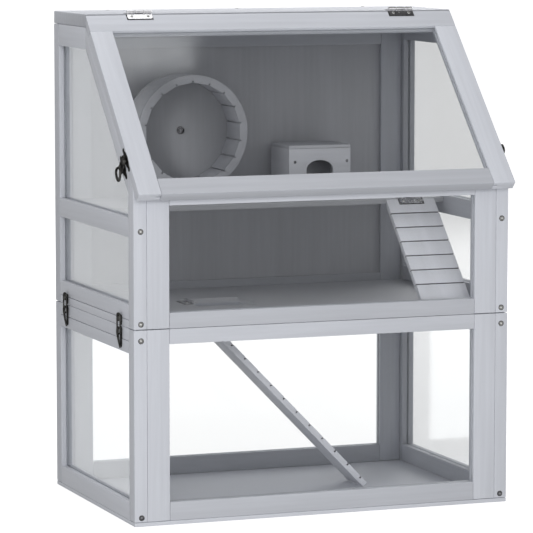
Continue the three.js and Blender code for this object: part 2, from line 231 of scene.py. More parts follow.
class Nodes:
    """A short way to write the node tree of a material or a world."""

    def __init__(self, owner):
        self.owner = owner
        owner.use_nodes = True
        self.tree = owner.node_tree
        self.tree.nodes.clear()

    def new(self, kind, inputs=None, **settings):
        """Adds a node; an input that is given a socket is linked, and one given a value is set."""
        node = self.tree.nodes.new("ShaderNode" + kind)
        for key, value in settings.items():
            setattr(node, key, value)
        for key, value in (inputs or {}).items():
            if isinstance(value, bpy.types.NodeSocket):
                self.tree.links.new(value, node.inputs[key])
            else:
                node.inputs[key].default_value = value
        return node

    def math(self, operation, a, b=0.0):
        return self.new("Math", {0: a, 1: b}, operation=operation).outputs[0]

    def mix(self, factor, a, b):
        """Blends two colours: inputs 6 and 7 and output 2 are the node's colour sockets."""
        return self.new("Mix", {0: factor, 6: a, 7: b}, data_type="RGBA").outputs[2]

    def noise(self, vector, scale, detail=4.0, roughness=0.55):
        mapped = self.new("Mapping", {"Vector": vector, "Scale": scale})
        return self.new("TexNoise", {
            "Vector": mapped.outputs[0], "Scale": 1.0, "Detail": detail, "Roughness": roughness,
        }).outputs[0]

    def spread(self, value, low, high, to_low=0.0, to_high=1.0):
        return self.new("MapRange", {
            "Value": value, "From Min": low, "From Max": high, "To Min": to_low, "To Max": to_high,
        }).outputs[0]

    def finish(self, shader, output="OutputMaterial"):
        self.new(output, {0: shader})
        return self.owner


def shade(colour, factor):
    return tuple(min(1.0, c * factor) for c in colour[:3]) + (1.0,)


def painted_wood(name, colour, figure=0.05, streaks=0.07, roughness=0.55):
    """Matt paint rolled thinly over wood: the grain shows through as faint lines and ridges."""
    n = Nodes(bpy.data.materials.new(name))
    grain = n.new("Attribute", attribute_name="grain").outputs["Vector"]
    worn = n.new("Attribute", attribute_name="worn").outputs["Fac"]
    piece_tone_and_painted_shade = n.math("ADD", n.new("Attribute", attribute_name="tone").outputs["Fac"], 1.0)
    clouds = n.noise(grain, (3.0, 16.0, 16.0), 3.0)
    streak = n.noise(grain, (7.0, 190.0, 190.0), 5.0, 0.6)
    fibre = n.noise(grain, (45.0, 1300.0, 1300.0), 3.0, 0.6)
    ring_space = n.new("Mapping", {"Vector": grain, "Scale": (2.2, 30.0, 30.0)}).outputs[0]
    rings = n.new("TexWave", {
        "Vector": ring_space, "Scale": 1.0, "Distortion": 5.0, "Detail": 2.0, "Detail Scale": 0.7,
    }, bands_direction="Y").outputs["Fac"]
    soft_tone = n.spread(clouds, 0.3, 0.7, -0.5, 0.5)
    tone = n.math("ADD", soft_tone, n.spread(streak, 0.3, 0.7, -0.6, 0.6))
    tone = n.math("ADD", tone, n.math("MULTIPLY", n.math("SUBTRACT", rings, 0.5), figure / streaks))
    tone = n.math("MULTIPLY", tone, 0.5)
    tone = n.math("ADD", tone, 0.5)
    paint = n.mix(tone, shade(colour, 1 - 1.3 * streaks), shade(colour, 1 + 0.9 * streaks))
    chips = n.noise(grain, (60.0, 260.0, 260.0), 4.0, 0.7)
    rubbed = n.math("MULTIPLY", worn, n.spread(chips, 0.5, 0.68, 0.10, 0.55))
    paint = n.mix(rubbed, paint, shade(colour, 1.22))
    # Scales the paint by the piece's tone: a random spread, plus painted shade on some pieces.
    paint = n.new("VectorMath", {0: paint, "Scale": piece_tone_and_painted_shade}, operation="SCALE").outputs[0]
    rough = n.spread(n.math("ADD", streak, clouds), 0.7, 1.3, roughness - 0.07, roughness + 0.09)
    height = n.math("ADD", n.math("MULTIPLY", fibre, 0.45), n.math("MULTIPLY", streak, 0.8))
    height = n.math("ADD", height, n.math("MULTIPLY", rings, 0.35))
    bump = n.new("Bump", {"Height": height, "Strength": 0.35, "Distance": 0.0004}).outputs[0]
    shader = n.new("BsdfPrincipled", {
        "Base Color": paint, "Roughness": rough, "Normal": bump, "Specular IOR Level": 0.12,
    })
    return n.finish(shader.outputs[0])


def clear_sheet(name):
    """Clear acrylic: see-through, with a mirror that grows towards grazing angles, and faint marks."""
    n = Nodes(bpy.data.materials.new(name))
    place = n.new("TexCoord").outputs["Object"]
    marks = n.noise(place, (14.0, 14.0, 30.0), 4.0)
    facing_away = n.new("LayerWeight", {"Blend": 0.5}).outputs["Facing"]
    grazing = n.math("POWER", facing_away, 2.65)
    mirror = n.math("ADD", n.math("MULTIPLY", grazing, 0.66), 0.012)
    rough = n.spread(marks, 0.35, 0.7, 0.07, 0.15)
    see = n.new("BsdfTransparent", {"Color": (0.955, 0.957, 0.957, 1.0)}).outputs[0]
    gloss = n.new("BsdfGlossy", {"Color": (0.96, 0.98, 1.0, 1.0), "Roughness": rough}).outputs[0]
    return n.finish(n.new("MixShader", {0: mirror, 1: see, 2: gloss}).outputs[0])


def metal(name, colour, dark, roughness, spread, bump=0.15, metallic=1.0, edge=1.0):
    """Plated or blackened metal with cloudy finish, rubbed brighter along its edges."""
    n = Nodes(bpy.data.materials.new(name))
    place = n.new("TexCoord").outputs["Object"]
    worn = n.new("Attribute", attribute_name="worn").outputs["Fac"]
    clouds = n.noise(place, (230.0, 230.0, 230.0), 4.0)
    pits = n.noise(place, (1900.0, 1900.0, 1900.0), 3.0)
    tone = n.mix(n.spread(clouds, 0.35, 0.65), dark, colour)
    tone = n.mix(n.math("MULTIPLY", worn, 0.6), tone, shade(colour, 1.9))
    rough = n.spread(clouds, 0.3, 0.7, roughness - spread, roughness + spread)
    normal = n.new("Bump", {"Height": pits, "Strength": bump, "Distance": 0.0002}).outputs[0]
    shader = n.new("BsdfPrincipled", {
        "Base Color": tone, "Roughness": rough, "Normal": normal, "Metallic": metallic,
        "Specular Tint": (edge, edge, edge, 1.0),
    })
    return n.finish(shader.outputs[0])


def studio_floor(name):
    n = Nodes(bpy.data.materials.new(name))
    place = n.new("TexCoord").outputs["Object"]
    clouds = n.noise(place, (0.8, 0.8, 0.8), 2.0)
    tone = n.mix(clouds, (0.48, 0.48, 0.48, 1), (0.50, 0.50, 0.50, 1))
    shader = n.new("BsdfPrincipled", {
        "Base Color": tone, "Roughness": 0.8, "Specular IOR Level": 0.0,
        "Emission Color": (1.0, 1.0, 1.0, 1.0), "Emission Strength": 0.86,
    })
    return n.finish(shader.outputs[0])


timber_paint = painted_wood("painted_timber", (0.575, 0.592, 0.64), figure=0.035, streaks=0.055)
board_paint = painted_wood("painted_board", (0.60, 0.61, 0.645), figure=0.07, streaks=0.06)
fitting_paint = painted_wood("painted_fittings", (0.55, 0.56, 0.60), figure=0.05, streaks=0.06)
acrylic = clear_sheet("acrylic")
nickel = metal("bright_nickel", (0.66, 0.66, 0.67, 1), (0.48, 0.48, 0.50, 1), 0.22, 0.08)
blackened = metal("blackened_metal", (0.080, 0.079, 0.075, 1), (0.018, 0.018, 0.018, 1), 0.36, 0.1,
                  bump=0.3, metallic=0.9, edge=0.2)
zinc = metal("dull_zinc", (0.46, 0.46, 0.45, 1), (0.34, 0.34, 0.33, 1), 0.42, 0.06)
screw_steel = metal("screw_steel", (0.20, 0.20, 0.21, 1), (0.10, 0.10, 0.11, 1), 0.4, 0.08)

# ---- timber members ----


def member(name, body, place, start, end, thick, grooves, groove_at, replaces=(),
           material=timber_paint, bevel=EDGE, tone=0.0):
    """A timber between two cut lines. start and end are pairs of (u, v) points, one on each long edge.

    grooves lists the long edges, 0 or 1, that hold a sheet; groove_at is its span in thickness.
    """
    a0, a1, b0, b1 = (Vector(p) for p in (*start, *end))
    inwards = (b0 + b1 - a0 - a1).normalized() * BUTT_JOINT
    a0, a1, b0, b1 = a0 + inwards, a1 + inwards, b0 - inwards, b1 - inwards
    share = GROOVE_DEPTH / (a1 - a0).length
    low, high = thick
    g0, g1 = groove_at
    section = [(0, low), (1, low)]
    if 1 in grooves:
        section += [(1, g0), (1 - share, g0), (1 - share, g1), (1, g1)]
    section += [(1, high), (0, high)]
    if 0 in grooves:
        section += [(0, g1), (share, g1), (share, g0), (0, g0)]
    bm = bmesh.new()
    rings = []
    for first, second in ((a0, a1), (b0, b1)):
        ring = []
        for part, t in section:
            point = first.lerp(second, part)
            ring.append(bm.verts.new(place(point.x, point.y, t)))
        rings.append(ring)
    for ring in rings:
        bm.faces.new(ring)
    count = len(section)
    for i in range(count):
        j = (i + 1) % count
        bm.faces.new((rings[0][i], rings[0][j], rings[1][j], rings[1][i]))
    middle = (b0 + b1 - a0 - a1) / 2
    along = place(middle.x, middle.y, 0) - place(0, 0, 0)
    make_piece(name, bm, material, body, replaces, along, bevel, tone=tone)


def board(name, body, low, high, along, material, replaces=(), bevel=EDGE, tone=0.0):
    bm = bmesh.new()
    block(bm, low, high)
    make_piece(name, bm, material, body, replaces, along, bevel, tone=tone)


def groove_between(low, high):
    """A sheet's groove, in the middle of a thickness."""
    middle = (low + high) / 2
    return middle - GROOVE / 2, middle + GROOVE / 2


def window_of(pane, u, v):
    """The opening that a sheet fills, as (u low, u high, v low, v high)."""
    low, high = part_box(pane)
    return low[u] + LAP, high[u] - LAP, low[v] + LAP, high[v] - LAP


# ---- side frames ----
LID_INNER_RISE = LID_TOP.z - LID_TOP.y - LID_THICK * ROOT2
SLANT_TOP = LID_INNER_RISE - SLANT_GAP
SLANT_INNER = SLANT_TOP - SLANT_WIDTH


def upright(name, body, place, u0, u1, v0, v1, thick, grooves, groove_at, **more):
    """A straight upright; grooves are 0 for its low u edge and 1 for its high u edge."""
    member(name, body, place, ((u0, v0), (u1, v0)), ((u0, v1), (u1, v1)), thick, grooves,
           groove_at, **more)


def rail(name, body, place, u0, u1, v0, v1, thick, grooves, groove_at, **more):
    """A straight rail; grooves are 0 for its lower edge and 1 for its upper edge."""
    member(name, body, place, ((u0, v0), (u0, v1)), ((u1, v0), (u1, v1)), thick, grooves,
           groove_at, **more)


def side_place(u, v, t):
    return Vector((t, u, v))


def lower_side(side):
    node = f"lower_{side}_frame"
    low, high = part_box(node)
    thick = (low.x, high.x)
    slit = groove_between(low.x, high.x)
    y0, y1, z0, z1 = window_of(f"lower_{side}_pane", 1, 2)
    body = "lower_unit"
    upright(f"{node}_front_post", body, side_place, FRONT, y0, low.z, high.z, thick, (1,), slit,
            replaces=(node,))
    # The back post's tone is painted shade: it is painted a little darker.
    upright(f"{node}_back_post", body, side_place, y1, BACK, low.z, high.z, thick, (0,), slit,
            tone=-0.1)
    rail(f"{node}_bottom_rail", body, side_place, y0, y1, low.z, z0, thick, (1,), slit)
    rail(f"{node}_top_rail", body, side_place, y0, y1, z1, BATTEN_LOW, thick, (0,), slit)
    rail(f"{node}_batten", body, side_place, y0, y1, BATTEN_LOW + BATTEN_JOINT, high.z, thick,
         (), slit, bevel=EDGE / 2)


def upper_side(side):
    node = f"upper_{side}_frame"
    low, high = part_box(node)
    thick = (low.x, high.x)
    slit = groove_between(low.x, high.x)
    y0, y1, mid0, mid1 = window_of(f"upper_{side}_middle_pane", 1, 2)
    _, _, high0, high1 = window_of(f"upper_{side}_high_pane", 1, 2)
    body = "upper_unit"
    member(f"{node}_front_post", body, side_place, ((FRONT, low.z), (y0, low.z)),
           ((FRONT, FRONT + SLANT_TOP), (y0, y0 + SLANT_TOP)), thick, (1,), slit, replaces=(node,))
    # The back post's tone is painted shade: it is painted a little darker.
    upright(f"{node}_back_post", body, side_place, y1, BACK, low.z, high.z, thick, (0,), slit,
            tone=-0.12)
    rail(f"{node}_batten", body, side_place, y0, y1, low.z, BATTEN_HIGH - BATTEN_JOINT, thick, (), slit,
         bevel=EDGE / 2)
    rail(f"{node}_bottom_rail", body, side_place, y0, y1, BATTEN_HIGH, mid0, thick, (1,), slit)
    rail(f"{node}_mid_rail", body, side_place, y0, y1, mid1, high0, thick, (0, 1), slit)
    knee = (high1 - SLANT_INNER, high1)
    knee_top = (high.z - SLANT_TOP, high.z)
    member(f"{node}_slanted_rail", body, side_place, ((y0, y0 + SLANT_INNER), (y0, y0 + SLANT_TOP)),
           (knee, knee_top), thick, (0,), slit)
    member(f"{node}_top_rail", body, side_place, (knee, knee_top), ((y1, high1), (y1, high.z)),
           thick, (0,), slit)


# ---- front and back frames ----


def face_place(u, v, t):
    return Vector((u, t, v))


def cross_frame(node, fill, body):
    """Two stiles with a bottom and a top rail between them."""
    low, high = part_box(node)
    x0, x1, z0, z1 = window_of(fill, 0, 2)
    thick = (low.y, high.y)
    pane_low, pane_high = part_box(fill)
    slit = groove_between(pane_low.y, pane_high.y)
    upright(f"{node}_left_stile", body, face_place, low.x, x0, low.z, high.z, thick, (1,), slit,
            replaces=(node,))
    upright(f"{node}_right_stile", body, face_place, x1, high.x, low.z, high.z, thick, (0,), slit)
    # The rails' tones are painted shade: the bottom rail darker, the top rail a touch darker.
    rail(f"{node}_bottom_rail", body, face_place, x0, x1, low.z, z0, thick, (1,), slit, tone=-0.16)
    rail(f"{node}_top_rail", body, face_place, x0, x1, z1, high.z, thick, (0,), slit, tone=-0.02)


# ---- boards ----
HATCH = (-146 * MM, -50 * MM, -30 * MM, 60 * MM)


def floor_board():
    """The upper floor: one board with a rectangular hatch for the ramp."""
    low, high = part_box("upper_floor")
    xs = (low.x, HATCH[0], HATCH[1], high.x)
    ys = (low.y, HATCH[2], HATCH[3], high.y)
    bm = bmesh.new()
    grid = {}
    for level, z in enumerate((low.z, high.z)):
        for i, x in enumerate(xs):
            for j, y in enumerate(ys):
                grid[i, j, level] = bm.verts.new((x, y, z))
    for i in range(3):
        for j in range(3):
            if (i, j) != (1, 1):
                for level in (0, 1):
                    bm.faces.new([grid[c] for c in ((i, j, level), (i + 1, j, level),
                                                    (i + 1, j + 1, level), (i, j + 1, level))])
    rim = [((i, j), (i + 1, j)) for j in (0, 3) for i in range(3)]
    rim += [((i, j), (i, j + 1)) for i in (0, 3) for j in range(3)]
    rim += [((1, 1), (2, 1)), ((1, 2), (2, 2)), ((1, 1), (1, 2)), ((2, 1), (2, 2))]
    for a, b in rim:
        bm.faces.new([grid[c] for c in ((*a, 0), (*b, 0), (*b, 1), (*a, 1))])
    make_piece("upper_floor_board", bm, board_paint, "upper_unit",
               ("upper_floor",), (1, 0, 0), EDGE)


def boards():
    board("base_board_panel", "lower_unit", *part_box("base_board"), (1, 0, 0), timber_paint,
          ("base_board",))
    board("roof_panel", "upper_unit", *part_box("roof_board"), (1, 0, 0), timber_paint,
          ("roof_board",), 1.6 * MM)
    board("shelf_board", "upper_unit", *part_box("shelf"), (1, 0, 0), board_paint,
          ("shelf",), bevel=1.2 * MM)
    board("back_panel", "upper_unit", *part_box("back_board"), (0, 0, 1), board_paint,
          ("back_board",), 0.4 * MM)
    floor_board()


# ---- lid ----
LID = Matrix.Translation(LID_TOP) @ Matrix.Rotation(SLOPE, 4, "X")


def lid_place(u, v, t):
    return LID @ Vector((u, v, t))


def lid():
    half = HALF_WIDTH
    inner = half - LID_STILE
    thick = (-LID_THICK, 0)
    slit = groove_between(*thick)
    bottom = -LID_LENGTH
    sill = bottom + LID_RAIL_BOTTOM
    head = -LID_RAIL_TOP
    g0, g1 = slit
    section = [(0, 0), (-LID_THICK, -LID_THICK), (head, -LID_THICK), (head, g0),
               (head + GROOVE_DEPTH, g0), (head + GROOVE_DEPTH, g1), (head, g1), (head, 0)]
    bm = bmesh.new()
    prism(bm, section, -half, half, lambda u, v, t: lid_place(t, u, v))
    # The top rail's tone is painted shade: a little darker.
    make_piece("lid_top_rail", bm, timber_paint, "lid", ("lid_frame",), (1, 0, 0), EDGE, tone=-0.08)
    upright("lid_left_stile", "lid", lid_place, -half, -inner, bottom, head, thick, (1,), slit)
    upright("lid_right_stile", "lid", lid_place, inner, half, bottom, head, thick, (0,), slit)
    # The bottom rail's tone is painted shade: clearly darker than the rest of the lid.
    rail("lid_bottom_rail", "lid", lid_place, -inner, inner, bottom, sill, thick, (1,), slit,
         tone=-0.22)


# ---- screws ----


def template(name, bm):
    """Turns a bmesh into a mesh to be stamped."""
    bmesh.ops.recalc_face_normals(bm, faces=bm.faces)
    mesh = bpy.data.meshes.new(name)
    bm.to_mesh(mesh)
    bm.free()
    return mesh


def cross_head(radius, height):
    """A low domed screw head with a cross recess, seat at z = 0, as a mesh to be stamped."""
    sides = 24
    flat = 0.62 * radius
    bm = bmesh.new()
    profile = [(radius, 0), (radius, 0.3 * height), (0.93 * radius, 0.62 * height),
               (0.8 * radius, 0.86 * height), (flat, height)]
    lathe(bm, profile, sides, Matrix.Identity(4))
    bm.verts.ensure_lookup_table()
    rim = list(bm.verts)[-sides:]
    arm = 0.46 * radius
    half = 0.11 * radius
    quarter = [(arm, -half), (arm, half), (half, half)]
    cross = []
    for _ in range(4):
        cross += quarter
        quarter = [(-y, x) for x, y in quarter]
    corners = len(cross)
    top = [bm.verts.new((x, y, height)) for x, y in cross]
    deep = [bm.verts.new((0.8 * x, 0.8 * y, 0.35 * height)) for x, y in cross]
    edges = [bm.edges.get((rim[i], rim[(i + 1) % sides])) for i in range(sides)]
    edges += [bm.edges.new((top[i], top[(i + 1) % corners])) for i in range(corners)]
    bmesh.ops.triangle_fill(bm, use_beauty=True, use_dissolve=False, edges=edges)
    for i in range(corners):
        j = (i + 1) % corners
        bm.faces.new((top[i], top[j], deep[j], deep[i]))
    bm.faces.new(deep)
    base = list(bm.verts)[:sides]
    bm.faces.new(base)
    return template("screw_head", bm)


def bolt_head(radius, height):
    """A round furniture bolt: a washer rim, a ring-shaped recess and a low crown."""
    bm = bmesh.new()
    profile = [(0, 0), (radius, 0), (radius, 0.45 * height), (0.93 * radius, 0.75 * height),
               (0.80 * radius, 0.8 * height), (0.74 * radius, 0.1 * height),
               (0.56 * radius, 0.1 * height), (0.50 * radius, 0.85 * height),
               (0.3 * radius, height), (0, 1.05 * height)]
    lathe(bm, profile, 24, Matrix.Identity(4))
    return template("bolt_head", bm)


def bolt_seat(radius, height):
    """A dark disc a little wider than a bolt's head, showing as a thin ring round it: a painted shadow
    for a counterbore.
    """
    bm = bmesh.new()
    profile = [(0, 0), (radius, 0), (radius, 0.7 * height), (radius - 0.3 * height, height),
               (0, height)]
    lathe(bm, profile, 24, Matrix.Identity(4))
    return template("bolt_seat", bm)


def stamped(name, head, places, body, material):
    """One piece made of copies of a template mesh, one at each (point, normal, twist in degrees)."""
    bm = bmesh.new()
    for point, normal, twist in places:
        first = len(bm.verts)
        bm.from_mesh(head)
        matrix = facing(point, normal) @ Matrix.Rotation(math.radians(twist), 4, "Z")
        bmesh.ops.transform(bm, matrix=matrix, verts=list(bm.verts)[first:])
    make_piece(name, bm, material, body)


def twisted(points, normal, seed):
    chance = random.Random(seed)
    return [(p, normal, chance.uniform(0, 90)) for p in points]


def frame_screws():
    bolt = bolt_head(3.3 * MM, 1.2 * MM)
    ring = bolt_seat(4.3 * MM, 0.35 * MM)
    small = cross_head(3.2 * MM, 1.1 * MM)
    out = 0.05 * MM
    post_x = HALF_WIDTH - 10.8 * MM
    rows = (("lower_front_bolts", "lower_unit", (276 * MM,), zinc),
            ("lower_front_foot_bolts", "lower_unit", (13 * MM,), screw_steel),
            ("upper_front_bolts", "upper_unit", (300.5 * MM, 437 * MM), zinc))
    for name, body, heights, finish in rows:
        points = [Vector((s * post_x, FRONT - out, z)) for s in (-1, 1) for z in heights]
        stamped(name, bolt, twisted(points, (0, -1, 0), name), body, finish)
        # A dark disc under each bolt head, showing as a painted shadow ring.
        stamped(name + "_seats", ring, twisted(points, (0, -1, 0), name), body, blackened)
    back_heights = {"lower": (20 * MM, 150 * MM, 280 * MM), "upper": (305 * MM, 510 * MM, 705 * MM)}
    sink = 1.12 * MM
    for unit, heights in back_heights.items():
        points = [Vector((s * post_x, BACK - sink, z)) for s in (-1, 1) for z in heights]
        stamped(f"{unit}_back_screws", small, twisted(points, (0, 1, 0), unit), f"{unit}_unit",
                screw_steel)
    roof_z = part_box("roof_board")[1].z
    points = [Vector((x, BACK - 9 * MM, roof_z - 0.4 * MM)) for x in (-215 * MM, 0, 215 * MM)]
    points += [Vector((s * (HALF_WIDTH - 10 * MM), 136 * MM, roof_z - 0.9 * MM)) for s in (-1, 1)]
    stamped("roof_screws", small, twisted(points, (0, 0, 1), "roof"), "upper_unit", zinc)


# ---- hinges ----
LEAF_THICK = 1.2 * MM
LEAF_REACH = 13 * MM
LEAF_START = 2.9 * MM  # clear of the other leaf's barrels
PIN_END = 1.26 * MM
PLAY = 0.3 * MM  # between barrels, and round parts that turn


def leaf_outline(width, reach, notches):
    """Half-round outer corners, and the inner edge cut back where the other leaf's barrels turn."""
    corner = 2.5 * MM
    half = width / 2
    outline = arc((half - corner, reach - corner), corner, 0, 90, 5)
    outline += arc((-half + corner, reach - corner), corner, 90, 180, 5)
    edges = sorted([-half, half] + [x for pair in notches for x in pair])
    inner = []
    for x0, x1 in zip(edges, edges[1:]):
        y = LEAF_START if (x0, x1) in notches else 0.6 * MM
        if x1 > x0:
            inner += [(x0, y), (x1, y)]
    return outline + inner


def barrel(bm, radius, x0, x1, matrix):
    """A rolled knuckle with rounded ends."""
    soft = 0.35 * MM
    length = x1 - x0
    profile = [(0, 0), (radius - soft, 0), (radius, soft), (radius, length - soft),
               (radius - soft, length), (0, length)]
    turn = matrix @ Matrix.Translation((x0, 0, 0)) @ Matrix.Rotation(math.pi / 2, 4, "Y")
    lathe(bm, profile, 20, turn)


def leaf(name, body, matrix, side, knuckles, notches, node, pin_ends=False):
    """One hinge leaf. matrix holds the axis on local X; side is +1 or -1 for the way it reaches."""
    # A dark plate a little larger than the leaf fills the gap under it, and shows as a painted shadow
    # line round the leaf.
    seat = 1.1 * MM
    bm = bmesh.new()
    block(bm, (-HINGE_WIDTH / 2 - seat, LEAF_START, -HINGE_OFFSET + 0.02 * MM),
          (HINGE_WIDTH / 2 + seat, LEAF_REACH + seat, -BARREL - 0.02 * MM))
    if side < 0:
        bmesh.ops.transform(bm, matrix=Matrix.Rotation(math.pi, 4, "Z"), verts=bm.verts)
    bmesh.ops.transform(bm, matrix=matrix, verts=bm.verts)
    make_piece(name + "_seat", bm, blackened, body)
    outline = leaf_outline(HINGE_WIDTH, LEAF_REACH, notches)
    bm = bmesh.new()
    prism(bm, outline, -BARREL, -BARREL + LEAF_THICK,
          lambda u, v, t: matrix @ Vector((u, side * v, t)))
    bevel_sharp(bm, 0.25 * MM, 1)
    for x0, x1 in knuckles:
        barrel(bm, BARREL, x0, x1, matrix)
    if pin_ends:
        half = HINGE_WIDTH / 2
        barrel(bm, PIN_END, -half - 0.5 * MM, half + 0.5 * MM, matrix)
    make_piece(name, bm, nickel, body, (node,))
    head = cross_head(2.3 * MM, 0.7 * MM)
    seat = -BARREL + LEAF_THICK - 0.05 * MM
    normal = matrix.to_3x3() @ Vector((0, 0, 1))
    points = [matrix @ Vector((x, side * 8.2 * MM, seat)) for x in (-13 * MM, 13 * MM)]
    stamped(name + "_screws", head, twisted(points, normal, name), body, zinc)


def hinge(name, moving_body, matrix, slope):
    third = HINGE_WIDTH / 6
    half = HINGE_WIDTH / 2
    middle = [(-third, third)]
    outer = [(-half, -third), (third, half)]
    leaf(f"{name}_fixed", "upper_unit", matrix, 1, [(-third + PLAY, third - PLAY)], outer,
         f"{name}_fixed_leaf", pin_ends=True)
    tilted = matrix @ Matrix.Rotation(slope, 4, "X")
    leaf(f"{name}_moving", moving_body, tilted, -1, outer, middle, f"{name}_moving_leaf")


def hinge_matrices():
    """Each hinge's axis: the middle of its fixed barrel, found from the CAD leaf."""
    made = {}
    for name in ("lid_hinge_left", "lid_hinge_right", "shelf_ramp_hinge"):
        low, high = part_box(f"{name}_fixed_leaf")
        centre = Vector(((low.x + high.x) / 2, low.y + BARREL, low.z + BARREL))
        made[name] = Matrix.Translation(centre)
    low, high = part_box("floor_ramp_hinge_fixed_leaf")
    centre = Vector((high.x - BARREL, (low.y + high.y) / 2, low.z + BARREL))
    made["floor_ramp_hinge"] = Matrix.Translation(centre) @ Matrix.Rotation(math.pi / 2, 4, "Z")
    return made


# ---- ramps ----
RAMP_THICK = 9 * MM
TREAD_GROOVE = 2.4 * MM
TREAD_DEPTH = 4 * MM
# The tone of the groove faces: painted shade.
GROOVE_PAINTED_SHADE = -0.72
RAMPS = {
    "shelf_ramp": {"slope": SLOPE, "width": 81 * MM, "landing": FLOOR_TOP, "first": 30.3 * MM,
                   "pitch": 28.3 * MM},
    "floor_ramp": {"slope": FLOOR_RAMP_SLOPE, "width": 65 * MM, "landing": BASE_TOP,
                   "first": 26.4 * MM, "pitch": 30.5 * MM},
}


def ramp(node, matrix, slope, width, landing, first, pitch):
    """A board with grooves sawn across its tread face, in its hinge's tilted frame."""
    tilt = matrix @ Matrix.Rotation(slope, 4, "X")
    tread = -HINGE_OFFSET
    under = tread - RAMP_THICK
    top = -(PLAY + HINGE_OFFSET * math.sin(slope)) / math.cos(slope)
    drop = matrix.translation.z - landing - PLAY - (HINGE_OFFSET + RAMP_THICK) * math.cos(slope)
    length = drop / math.sin(slope)
    outline = [(top, tread)]
    s = first
    while s < length - 2 * TREAD_GROOVE:
        outline += [(-s, tread), (-s, tread - TREAD_DEPTH)]
        outline += [(-s - TREAD_GROOVE, tread - TREAD_DEPTH), (-s - TREAD_GROOVE, tread)]
        s += pitch
    outline += [(-length, tread), (-length, under), (top - RAMP_THICK * math.tan(slope), under)]
    bm = bmesh.new()
    prism(bm, outline, -width / 2, width / 2, lambda u, v, t: tilt @ Vector((t, u, v)))
    along = tilt.to_3x3() @ Vector((0, 1, 0))
    piece = make_piece(node + "_board", bm, fitting_paint, node, (node,), along,
                       0.3 * MM)
    paint_shade_into_grooves(piece.data, tilt.inverted(), tread)


def paint_shade_into_grooves(mesh, to_ramp, tread):
    """Paints shade into the narrow grooves: their walls and bottoms get a darker tone than the tread.
    """
    tone = mesh.attributes["tone"].data
    turn = to_ramp.to_3x3()
    for face in mesh.polygons:
        depth = tread - (to_ramp @ face.center).z
        if 0.25 * TREAD_DEPTH < depth < 1.05 * TREAD_DEPTH and abs((turn @ face.normal).x) < 0.5:
            tone[face.index].value = GROOVE_PAINTED_SHADE


# ---- exercise wheel ----
SLATS = 18
SLAT_FACE = 77 * MM
SLAT_THICK = 4.6 * MM
SLAT_GAP = 2.4 * MM


def slat_polygon(face, nick):
    """The inside of the wheel: one flat for each slat, with a nick at every joint."""
    step = 2 * math.pi / SLATS
    half = face * math.tan(step / 2) - SLAT_GAP / 2
    flat = [(face, half * k / 3) for k in range(-3, 4)]
    outline = []
    for i in range(SLATS):
        turn = Matrix.Rotation(i * step, 2)
        for u, v in ((face + nick, -half), *flat, (face + nick, half)):
            point = turn @ Vector((u, v))
            outline.append((point.x, point.y))
    return outline


def ring_prism(bm, inner, radius, y0, y1, centre):
    """A flat ring: round outside, a many-sided outline inside."""
    count = len(inner)
    outer = []
    for u, v in inner:
        angle = math.atan2(v, u)
        outer.append((radius * math.cos(angle), radius * math.sin(angle)))
    rings = {}
    for key, points in (("in", inner), ("out", outer)):
        for y in (y0, y1):
            rings[key, y] = [bm.verts.new((centre.x + u, y, centre.z + v)) for u, v in points]
    for i in range(count):
        j = (i + 1) % count
        for y in (y0, y1):
            bm.faces.new((rings["in", y][i], rings["in", y][j], rings["out", y][j], rings["out", y][i]))
        for key in ("in", "out"):
            bm.faces.new((rings[key, y0][i], rings[key, y0][j], rings[key, y1][j], rings[key, y1][i]))


def wheel():
    low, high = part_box("wheel_disc")
    centre = Vector(((low.x + high.x) / 2, 0, (low.z + high.z) / 2))
    radius = (high.x - low.x) / 2
    face_y = Matrix.Translation(centre) @ Matrix.Rotation(math.pi / 2, 4, "X")
    soft = 1.0 * MM
    bore = 3.5 * MM
    front, back = -low.y, -high.y
    bm = bmesh.new()
    profile = [(bore, back), (radius - soft, back), (radius, back + soft), (radius, front - soft),
               (radius - 0.3 * soft, front - 0.3 * soft), (radius - soft, front), (bore, front),
               (bore, back)]
    lathe(bm, profile, 96, face_y)
    # The back disc's tone is painted shade: it is painted darker.
    make_piece("wheel_back_disc", bm, board_paint, "wheel", ("wheel_disc",), (0, 0, 1), tone=-0.22)

    ring_low, ring_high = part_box("wheel_ring")
    bm = bmesh.new()
    ring_prism(bm, slat_polygon(SLAT_FACE, 2.8 * MM), radius, ring_low.y, ring_high.y, centre)
    # The ring's tone is painted shade: it is painted a touch darker.
    make_piece("wheel_front_ring", bm, fitting_paint, "wheel", ("wheel_ring",),
               (1, 0, 0), 0.35 * MM, tone=-0.06)

    slat_low, slat_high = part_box("wheel_slats")
    hoop = radius - 1.2 * MM
    bm = bmesh.new()
    inside = SLAT_FACE + SLAT_THICK + 0.6 * MM
    lathe(bm, [(inside, -slat_high.y), (hoop, -slat_high.y), (hoop, -slat_low.y),
               (inside, -slat_low.y), (inside, -slat_high.y)], 96, face_y)
    make_piece("wheel_hoop", bm, board_paint, "wheel", ("wheel_slats",), (0, 1, 0))
    step = 2 * math.pi / SLATS
    half = SLAT_FACE * math.tan(step / 2) - SLAT_GAP / 2
    for i in range(SLATS):
        turn = Matrix.Translation(centre) @ Matrix.Rotation(-i * step, 4, "Y")
        bm = bmesh.new()
        prism(bm, [(SLAT_FACE, -half), (SLAT_FACE + SLAT_THICK, -half), (SLAT_FACE + SLAT_THICK, half),
                   (SLAT_FACE, half)], slat_low.y, slat_high.y,
              lambda u, v, t: turn @ Vector((u, t, v)))
        make_piece(f"wheel_slat_{i + 1:02d}", bm, fitting_paint, "wheel",
                   ("wheel_slats",) if i == 0 else (), (0, 1, 0), 0.5 * MM)
    axle(centre, face_y)


